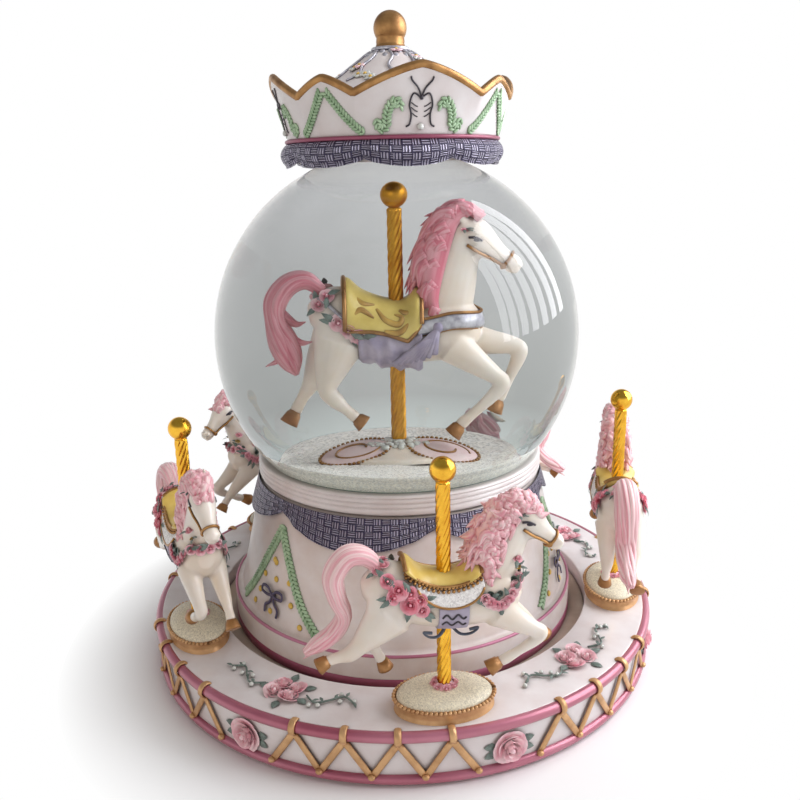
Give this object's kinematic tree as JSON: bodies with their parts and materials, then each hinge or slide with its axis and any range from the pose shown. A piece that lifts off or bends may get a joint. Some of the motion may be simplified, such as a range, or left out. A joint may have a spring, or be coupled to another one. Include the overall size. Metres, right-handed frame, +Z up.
{
  "type": "carousel music box",
  "caption": "Musical water globe on a drum, with a carousel horse inside the globe, a scalloped crown on top and a ring of carousel horses that turns round the drum on a wound movement.",
  "frame": {"origin": "on the table plane, under the middle of the turning ring", "axes": "+Z up along the axis that the ring turns on, -Y towards the side shown in the picture"},
  "size_m": [0.1469, 0.147, 0.1735],
  "materials": {
    "ivory_resin": "pearly cast resin, ivory white",
    "horse_resin": "pearly cast resin, ivory white",
    "gilt": "antique gilt",
    "lilac_resin": "cast resin drape, lilac grey",
    "rose_resin": "cast resin flowers, rose pink",
    "clear_glass": "clear blown glass",
    "black_rubber": "moulded rubber",
    "nylon": "natural nylon",
    "steel": "zinc plated steel",
    "brass_parts": "turned brass",
    "base_plastic": "moulded plastic, beige"
  },
  "bodies": {
    "base": {"base_pan": "base_plastic", "chassis_screws": "steel", "rubber_feet": "black_rubber", "glide_pads": "nylon", "deck_plate": "steel", "slip_ring": "nylon", "rim_screws": "steel", "drum_body": "ivory_resin", "drum_drape": "lilac_resin", "globe_collar": "ivory_resin", "glass_globe": "clear_glass", "globe_stopper": "black_rubber", "snow_floor": "ivory_resin", "inner_plinth": "rose_resin", "inner_pole": "gilt", "inner_horse": "ivory_resin", "crown_seat": "base_plastic", "crown_band": "ivory_resin", "crown_drape": "lilac_resin", "crown_roof": "ivory_resin", "finial": "gilt", "governor_bracket": "brass_parts", "bedplate": "steel", "bedplate_screws": "steel", "cylinder_bracket": "brass_parts", "comb": "steel", "comb_base": "brass_parts", "comb_screws": "steel"},
    "horse_carousel": {"horse_ring": "ivory_resin", "ring_gear": "nylon", "ring_screws": "steel", "horse_plinths": "gilt", "rose_sprays": "rose_resin", "side_roses": "rose_resin", "lattice_straps": "gilt", "horse_1": "horse_resin", "horse_2": "horse_resin", "horse_3": "horse_resin", "horse_4": "horse_resin", "horse_5": "horse_resin", "pole_1": "gilt", "pole_2": "gilt", "pole_3": "gilt", "pole_4": "gilt", "pole_5": "gilt"},
    "winding": {"winding_key": "brass_parts", "winding_arbor": "steel", "great_wheel": "brass_parts", "spring_barrel": "brass_parts", "mainspring": "steel", "barrel_cover": "brass_parts"},
    "lay": {"lay_shaft": "steel", "lay_gear": "nylon", "lay_pinion": "brass_parts"},
    "cylinder": {"cylinder_arbor": "steel", "crown_pinion": "brass_parts", "worm_wheel": "brass_parts", "pin_cylinder": "brass_parts"},
    "governor": {"governor_worm": "brass_parts", "governor_fan": "nylon"}
  },
  "joints": [
    {"name": "ring_turn", "type": "hinge", "parent": "base", "child": "horse_carousel", "pos_m": [0, 0, 0.01], "axis": [0, 0, 1], "continuous": true},
    {"name": "lay_turn", "type": "hinge", "parent": "base", "child": "lay", "pos_m": [-0.0405, 0, 0.01], "axis": [0, 0, 1], "continuous": true},
    {"name": "key_turn", "type": "hinge", "parent": "base", "child": "winding", "pos_m": [-0.008, 0, 0.01], "axis": [0, 0, 1], "continuous": true},
    {"name": "cylinder_turn", "type": "hinge", "parent": "base", "child": "cylinder", "pos_m": [0.019, 0, 0.0303], "axis": [1, 0, 0], "continuous": true},
    {"name": "governor_turn", "type": "hinge", "parent": "base", "child": "governor", "pos_m": [0.0325, 0.0112, 0.03], "axis": [0, 0, 1], "continuous": true}
  ],
  "couplings": [
    {"joint": "lay_turn", "follows": "ring_turn", "ratio": 4.8571},
    {"joint": "key_turn", "follows": "ring_turn", "ratio": -0.98942},
    {"joint": "cylinder_turn", "follows": "ring_turn", "ratio": -2.4735},
    {"joint": "governor_turn", "follows": "ring_turn", "ratio": 59.365}
  ]
}
